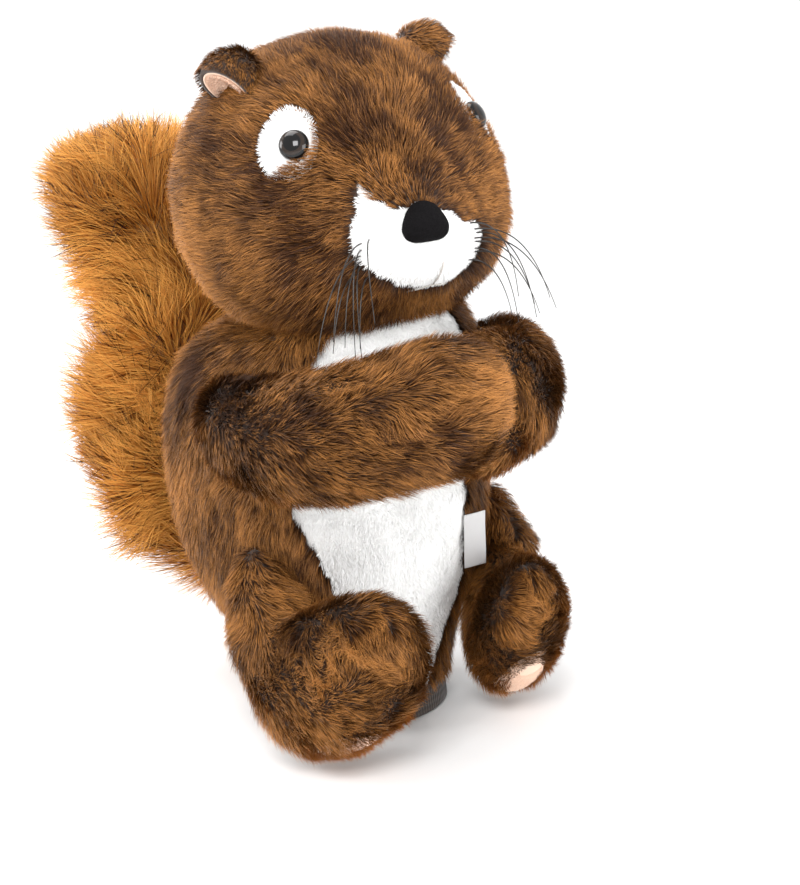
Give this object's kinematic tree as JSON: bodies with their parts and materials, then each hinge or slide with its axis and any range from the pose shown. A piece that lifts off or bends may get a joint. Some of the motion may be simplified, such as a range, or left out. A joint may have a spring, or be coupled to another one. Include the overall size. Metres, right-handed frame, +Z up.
{
  "type": "driver head cover",
  "caption": "Plush squirrel head cover for a golf driver: a stuffed body round a lined pocket, with a large head, folded arms, feet and a bushy tail sewn on.",
  "frame": {"origin": "centre of the mouth at the hem's lower edge", "axes": "+Z up out of the mouth towards the head, -Y the way the squirrel's face looks, +X towards the squirrel's left side"},
  "size_m": [0.1829, 0.3273, 0.3443],
  "materials": {
    "brown_plush": "long brown pile with tan tips",
    "white_plush": "short white pile",
    "tail_plush": "long orange-tan pile with dark tips",
    "peach_velboa": "short peach pile",
    "lining_fleece": "smooth knitted lining",
    "hem_tape": "woven tape",
    "elastic": "knitted elastic",
    "stuffing": "polyester fibre",
    "blank_label": "woven satin, blank",
    "black_flock": "black flock",
    "brown_thread": "thread",
    "black_eye": "gloss",
    "washer_plastic": "matt",
    "whisker_nylon": "thin nylon line"
  },
  "bodies": {
    "cover": {"hem_binding": "hem_tape", "pocket_lining": "lining_fleece", "neck_elastic": "elastic", "body_stuffing": "stuffing", "belly_panel": "white_plush", "back_panel": "brown_plush", "right_side_panel": "brown_plush", "left_side_panel": "brown_plush", "side_label": "blank_label", "head_back_panel": "brown_plush", "crown_panel": "brown_plush", "forehead_panel": "brown_plush", "right_cheek_panel": "brown_plush", "left_cheek_panel": "brown_plush", "muzzle_panel": "white_plush", "chin_panel": "brown_plush", "head_stuffing": "stuffing", "nose": "black_flock", "mouth_stitch": "brown_thread", "right_eye_patch": "white_plush", "left_eye_patch": "white_plush", "right_eye": "black_eye", "left_eye": "black_eye", "right_eye_washer": "washer_plastic", "left_eye_washer": "washer_plastic", "right_whiskers": "whisker_nylon", "left_whiskers": "whisker_nylon"},
    "right_arm": {"right_arm_outer": "brown_plush", "right_arm_inner": "brown_plush", "right_arm_stuffing": "stuffing"},
    "left_arm": {"left_arm_outer": "brown_plush", "left_arm_inner": "brown_plush", "left_arm_stuffing": "stuffing"},
    "right_leg": {"right_leg_outer": "brown_plush", "right_leg_inner": "brown_plush", "right_leg_stuffing": "stuffing", "right_sole": "peach_velboa"},
    "left_leg": {"left_leg_outer": "brown_plush", "left_leg_inner": "brown_plush", "left_leg_stuffing": "stuffing", "left_sole": "peach_velboa"},
    "tail": {"tail_front_panel": "tail_plush", "tail_back_panel": "tail_plush", "tail_stuffing": "stuffing"},
    "right_ear": {"right_ear": "brown_plush", "right_ear_lining": "peach_velboa"},
    "left_ear": {"left_ear": "brown_plush", "left_ear_lining": "peach_velboa"}
  },
  "joints": [
    {"name": "left_shoulder", "type": "hinge", "parent": "cover", "child": "left_arm", "pos_m": [0.07181, -0.04165, 0.18125], "axis": [0, 0, 1], "range_deg": [0, 20], "stiffness_Nm_per_rad": 0.3},
    {"name": "right_shoulder", "type": "hinge", "parent": "cover", "child": "right_arm", "pos_m": [-0.07181, -0.04165, 0.18125], "axis": [0, 0, 1], "range_deg": [-20, 0], "stiffness_Nm_per_rad": 0.3},
    {"name": "left_hip", "type": "hinge", "parent": "cover", "child": "left_leg", "pos_m": [0.06963, -0.0338, 0.10044], "axis": [1, 0, 0], "range_deg": [-25, 0], "stiffness_Nm_per_rad": 0.4},
    {"name": "right_hip", "type": "hinge", "parent": "cover", "child": "right_leg", "pos_m": [-0.06963, -0.0338, 0.10044], "axis": [1, 0, 0], "range_deg": [-25, 0], "stiffness_Nm_per_rad": 0.4},
    {"name": "tail_root", "type": "hinge", "parent": "cover", "child": "tail", "pos_m": [0, 0.07641, 0.05136], "axis": [1, 0, 0], "range_deg": [-25, 0], "stiffness_Nm_per_rad": 0.6},
    {"name": "left_ear_seam", "type": "hinge", "parent": "cover", "child": "left_ear", "pos_m": [0.05322, -0.04228, 0.32256], "axis": [0, 1, 0], "range_deg": [-6, 15], "stiffness_Nm_per_rad": 0.02},
    {"name": "right_ear_seam", "type": "hinge", "parent": "cover", "child": "right_ear", "pos_m": [-0.05322, -0.04228, 0.32256], "axis": [0, 1, 0], "range_deg": [-15, 6], "stiffness_Nm_per_rad": 0.02}
  ]
}
